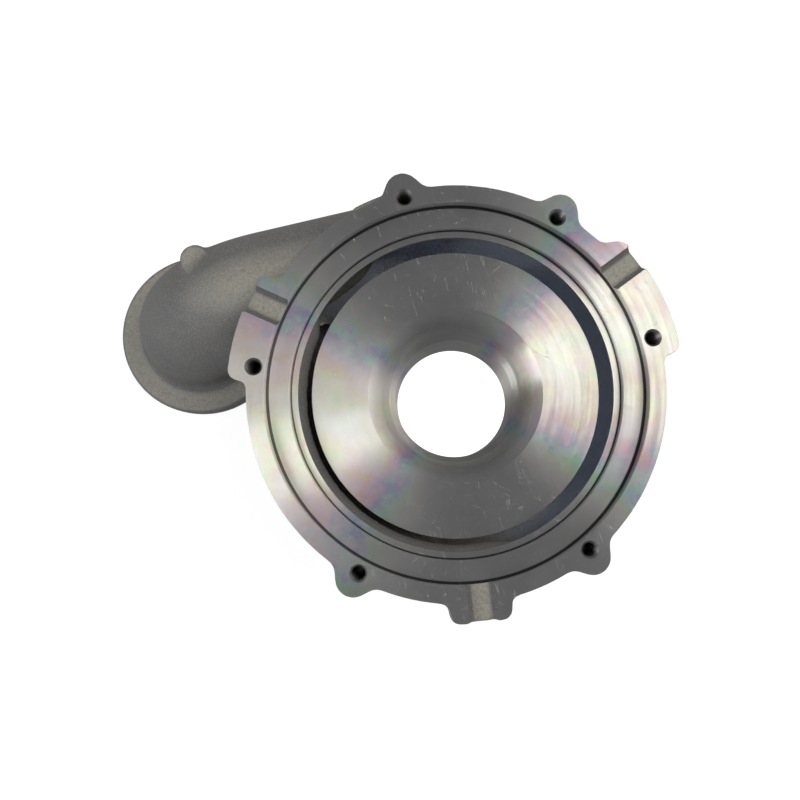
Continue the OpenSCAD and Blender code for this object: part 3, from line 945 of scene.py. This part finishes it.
@dataclass(frozen=True)
class TurnedMetal:
    """Bright lathe-turned aluminium: round tool marks, stains and scratches, with a painted sheen and painted
    groove shade.
    """

    name: str
    tone: Colour = (0.66, 0.655, 0.645, 1.0)
    cream: Colour = (1.0, 0.99, 0.91, 1.0)
    stain: Colour = (0.70, 0.69, 0.69, 1.0)
    scored: Colour = (0.9, 0.9, 0.9, 1.0)
    # Near-black painted shade for the bottoms of the narrow grooves.
    groove_shade: Colour = (0.05, 0.05, 0.05, 1.0)
    roughness: Pair = (0.32, 0.43)
    anisotropy: float = 1.0
    # Painted sheen: how much rainbow and cream tint, and in which sectors round the axis they lie.
    rainbow: float = 0.75
    sheen_way: float = 14.0
    sheen_range: Pair = (0.6, 0.75)
    cream_range: Pair = (0.65, 0.9)
    tint_range: Ramp = (0.7, 0.95, 0.40, 0.12)
    bands: Noise = (80.0, 4.0, 0.65)
    band_shift: float = 0.18
    band_count: float = 1.4
    band_turn: float = 2.2
    patches: Noise = (60.0, 4.0, 0.6)
    patch_range: Pair = (0.40, 0.60)
    patch_least: float = 0.25
    mark_turn: float = 0.004
    fine: Noise = (2600.0, 2.0, 0.7)
    broad: Noise = (420.0, 3.0, 0.6)
    fine_share: float = 0.5
    blotches: Pair = (34.0, 0.35)
    stain_share: float = 0.5
    scratches: Pair = (110.0, 0.6)
    scratch_share: float = 0.6
    scratch_rough: float = 0.25
    groove_shade_share: float = 0.85
    relief: Pair = (0.03, 0.0002)
    scratch_relief: Pair = (0.2, 0.0003)
    # Where the painted groove shade goes.
    grooves: tuple[tuple[float, float, float], ...] = ()
    groove_edge: float = 0.2
    groove_drop: Pair = (0.3, 0.1)

    def painted_groove_shade(self, n: Nodes, radius: Socket, height: Socket) -> Socket | float:
        """Painted shade in the narrow grooves: their bottoms are painted near black for the shade that falls
        in them.

        Args:
            n: Layout helper of the material.
            radius: Distance from the main axis.
            height: Height above the inlet rim.

        Returns:
            How much painted shade lies there.
        """
        total = 0.0
        for inner, outer, top in self.grooves:
            off = n.math("ABSOLUTE", n.math("SUBTRACT", radius, (inner + outer) / 2 * MM))
            half = (outer - inner) / 2 * MM
            near = n.ramp(off, half, half + self.groove_edge * MM, 1.0, 0.0)
            low, high = self.groove_drop
            below = n.ramp(height, (top - low) * MM, (top - high) * MM, 1.0, 0.0)
            total = n.math("MAXIMUM", total, n.math("MULTIPLY", near, below))
        return total

    def painted_sheen(self, n: Nodes, where: Socket, flat: Socket) -> Socket:
        """Bare metal under a painted sheen: a faint rainbow and a cream tint in the two sectors that face the
        lamps, where the highlight falls.

        Args:
            n: Layout helper of the material.
            where: Place on the surface.
            flat: The place with its height left out.

        Returns:
            The colour of the metal.
        """
        # Painted sheen: lit is one in the sectors that face sheen_way, the lamps' bearing, where the turned
        # faces' highlight falls.
        lit = n.math("ABSOLUTE", n.dot(n.vector("NORMALIZE", flat), (*around(1.0, self.sheen_way), 0.0)))
        bands = n.math("ADD", n.noise(where, *self.bands), self.band_shift)
        spread = n.math("MULTIPLY", bands, self.band_count)
        spread = n.math("ADD", spread, n.math("MULTIPLY", lit, self.band_turn))
        hue, tint = n.math("FRACT", spread), n.ramp(lit, *self.tint_range)
        painted_sheen = n.add("ShaderNodeCombineColor", {0: hue, 1: tint, 2: 1.0}, mode="HSV").outputs[0]
        painted_sheen = n.mix(n.ramp(lit, *self.cream_range), painted_sheen, self.cream, "MULTIPLY")
        patch = n.ramp(n.noise(where, *self.patches), *self.patch_range)
        patch = n.math("ADD", n.math("MULTIPLY", patch, self.rainbow), self.patch_least)
        patch = n.math("MULTIPLY", patch, n.ramp(lit, *self.sheen_range))
        return n.mix(patch, self.tone, n.mix(1.0, painted_sheen, self.tone, "MULTIPLY"))

    def build(self, effects: Effects) -> bpy.types.Material:
        """Makes the material."""
        material, n, shader = new_material(self.name)
        links = material.node_tree.links
        where = n.where()
        x, y, z = n.split(where)
        flat = n.vector("MULTIPLY", where, (1, 1, 0))
        radius = n.length(flat)
        followed = n.join(radius, n.math("MULTIPLY", n.math("ARCTAN2", y, x), self.mark_turn), z)
        fine = n.noise(followed, *self.fine)
        broad = n.noise(followed, *self.broad)
        blotch = effects.use(n, effects.grime, self.blotches)
        scratch = effects.use(n, effects.scratches, self.scratches)
        # Base colour with the painted sheen in the lamp-facing sectors.
        colour = self.painted_sheen(n, where, flat)
        stained = n.mix(1.0, colour, self.stain, "MULTIPLY")
        colour = n.mix(n.math("MULTIPLY", blotch, self.stain_share), colour, stained)
        colour = n.mix(n.math("MULTIPLY", scratch, self.scratch_share), colour, self.scored)
        # Painted shade: the groove bottoms are darkened towards a near-black colour.
        colour = n.mix(n.math("MULTIPLY", self.painted_groove_shade(n, radius, z), self.groove_shade_share), colour, self.groove_shade)
        links.new(colour, shader.inputs["Base Color"])
        shader.inputs["Metallic"].default_value = 1.0
        rough = n.ramp(broad, *NOISE_MIDDLE, *self.roughness)
        rough = n.math("ADD", rough, n.math("MULTIPLY", scratch, self.scratch_rough))
        links.new(rough, shader.inputs["Roughness"])
        shader.inputs["Anisotropic"].default_value = self.anisotropy
        cut = n.vector("NORMALIZE", n.vector("CROSS_PRODUCT", (0, 0, 1), flat))
        across = n.vector("NORMALIZE", n.vector("CROSS_PRODUCT", n.normal(), cut))
        links.new(across, shader.inputs["Tangent"])
        height = n.math("ADD", broad, n.math("MULTIPLY", scratch, -1.0))
        height = n.math("ADD", n.math("MULTIPLY", fine, self.fine_share), height)
        turned = n.bump(height, *self.relief)
        links.new(n.bump(scratch, *self.scratch_relief, Normal=turned), shader.inputs["Normal"])
        return material


@dataclass(frozen=True)
class Lamp:
    """Soft lamp that faces the housing. Lengths are in metres, angles in degrees and power in watts."""

    name: str
    azimuth: float
    elevation: float
    width: float
    depth: float
    power: float
    colour: tuple[float, float, float]
    distance: float = 1.3
    aim: float = 0.1

    def build(self) -> None:
        """Adds the lamp to the scene."""
        data = bpy.data.lights.new(self.name, "AREA")
        data.shape = "RECTANGLE"
        data.size, data.size_y = self.width, self.depth
        data.energy = self.power
        data.color = self.colour
        lamp = bpy.data.objects.new(self.name, data)
        level, up = around(1.0, self.elevation)
        way = Vector((*around(level, self.azimuth), up))
        lamp.location = Vector((0, 0, self.aim)) + way * self.distance
        lamp.rotation_euler = way.to_track_quat("Z", "Y").to_euler()
        bpy.context.scene.collection.objects.link(lamp)


@dataclass(frozen=True)
class Studio:
    """Camera, lamps, pale surroundings and floor. A Ramp is where a value starts and ends, and its levels."""

    land: float
    lens_px: float = 714.0
    image_px: float = 800.0
    aim_px: Pair = (433.8, 416.7)
    tilt: Pair = (-4.11, -0.86)
    offset_px: Pair = (23.5, -26.3)
    distance: float = 350.0
    px_per_mm: float = 2.04
    sensor: float = 36.0
    clip: Pair = (0.01, 20.0)
    window_way: float = 12.0
    wall_levels: Ramp = (0.4, 0.9, 0.28, 0.52)
    ceiling_levels: Ramp = (0.1, 0.9, 1.0, 0.6)
    wall_blue: float = 1.03
    floor_half: float = 4.0
    floor_tone: Colour = (0.86, 0.86, 0.86, 1.0)
    floor_roughness: float = 0.9
    floor_glow: Pair = (0.25, 1.35)
    # Painted pool of light: the floor's glow share is larger near the axis, under the throat.
    glow_pool_shares: Ramp = (0.035, 0.055, 0.95, 0.65)
    lamps: tuple[Lamp, ...] = (
        Lamp("key", 22.0, 60.0, 0.68, 0.7, 5.8, (1.0, 0.99, 0.94)),
        Lamp("fill", 196.0, 42.0, 0.47, 0.6, 4.5, (0.93, 0.96, 1.0)))

    def camera(self) -> None:
        """Sets the camera to the photograph's viewing angle of the flange land."""
        turn_x = Matrix.Rotation(math.radians(self.tilt[0]), 3, "X")
        turn_y = Matrix.Rotation(math.radians(self.tilt[1]), 3, "Y")
        view = turn_x @ turn_y @ Matrix.Diagonal((1.0, -1.0, -1.0))
        shift = Vector((*(px / self.px_per_mm for px in self.offset_px), self.distance))
        place = -(view.transposed() @ shift) + Vector((0, 0, self.land))
        data = bpy.data.cameras.new("camera")
        data.sensor_width = self.sensor
        data.lens = self.lens_px / self.image_px * self.sensor
        data.shift_x = -(self.aim_px[0] - self.image_px / 2) / self.image_px
        data.shift_y = (self.aim_px[1] - self.image_px / 2) / self.image_px
        data.clip_start, data.clip_end = self.clip
        camera = bpy.data.objects.new("camera", data)
        turn = Matrix((view[0], -view[1], -view[2])).transposed()
        camera.matrix_world = Matrix.Translation(place * MM) @ turn.to_4x4()
        bpy.context.scene.collection.objects.link(camera)
        bpy.context.scene.camera = camera

    def surroundings(self) -> None:
        """White to the camera, pale walls and a darker ceiling to the metal."""
        world = bpy.data.worlds.new("studio")
        bpy.context.scene.world = world
        world.use_nodes = True
        n = Nodes(world.node_tree)
        way = n.add("ShaderNodeTexCoord").outputs["Generated"]
        beside = n.math("ABSOLUTE", n.dot(way, (*around(1.0, self.window_way), 0.0)))
        ceiling = n.ramp(n.split(way)[2], *self.ceiling_levels)
        shade = n.math("MULTIPLY", n.ramp(beside, *self.wall_levels), ceiling)
        blue = n.math("MULTIPLY", shade, self.wall_blue)
        level = n.add("ShaderNodeCombineColor", {0: shade, 1: shade, 2: blue}).outputs[0]
        camera = n.add("ShaderNodeLightPath").outputs["Is Camera Ray"]
        background = world.node_tree.nodes["Background"]
        world.node_tree.links.new(n.mix(camera, level, (1, 1, 1, 1)), background.inputs["Color"])

    def floor(self) -> None:
        """Plain pale floor that keeps the housing's shadow, white to the camera and dimmer to the metal, with
        a painted pool of light near the axis that glows almost white over the shadow under the throat.
        """
        half = self.floor_half
        ends = np.array([(-half, -half, 0), (half, -half, 0), (half, half, 0), (-half, half, 0)])
        floor = mesh_object("floor", ends, [(0, 1, 2, 3)])
        material, n, shader = new_material("pale_floor")
        shader.inputs["Base Color"].default_value = self.floor_tone
        shader.inputs["Roughness"].default_value = self.floor_roughness
        path = n.add("ShaderNodeLightPath").outputs
        strength = n.ramp(path["Is Camera Ray"], 0.0, 1.0, *self.floor_glow)
        glow = n.add("ShaderNodeEmission", {"Color": (1, 1, 1, 1), "Strength": strength})
        seen = n.math("MAXIMUM", path["Is Glossy Ray"], path["Is Transmission Ray"])
        seen = n.math("MAXIMUM", path["Is Camera Ray"], seen)
        # Painted light: near the axis the floor glows almost white over the housing's shadow.
        share = n.math("MULTIPLY", seen, n.ramp(n.length(n.where()), *self.glow_pool_shares))
        blend = n.add("ShaderNodeMixShader", {0: share, 1: shader.outputs[0], 2: glow.outputs[0]})
        output = material.node_tree.nodes["Material Output"]
        material.node_tree.links.new(blend.outputs[0], output.inputs["Surface"])
        floor.data.materials.append(material)

    def build(self) -> None:
        """Sets up everything round the housing."""
        self.camera()
        self.surroundings()
        self.floor()
        for lamp in self.lamps:
            lamp.build()
        bpy.context.scene.view_settings.view_transform = "Standard"


def main() -> None:
    """Builds the housing and its surroundings in order."""
    logging.basicConfig(level=logging.INFO, format="%(name)s: %(message)s")
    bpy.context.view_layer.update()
    sizes = Sizes()
    effects = Effects()
    materials = {
        Surface.CAST: SandCast(sizes).build(effects),
        Surface.TURNED: TurnedMetal("turned_face", grooves=sizes.grooves()).build(effects),
        # Painted shade: the tapped holes and the port's bore get a darker tone for the shade inside them.
        Surface.BORED: TurnedMetal("bore_with_painted_shade", tone=(0.32, 0.31, 0.30, 1.0), rainbow=0.0,
                                   anisotropy=0.3).build(effects),
    }
    body = Housing(sizes, materials).build()
    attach(body, "root")
    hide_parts("compressor_housing")
    log.info("housing: %d faces", len(body.data.polygons))
    Studio(sizes.height).build()


if __name__ == "__main__":
    main()
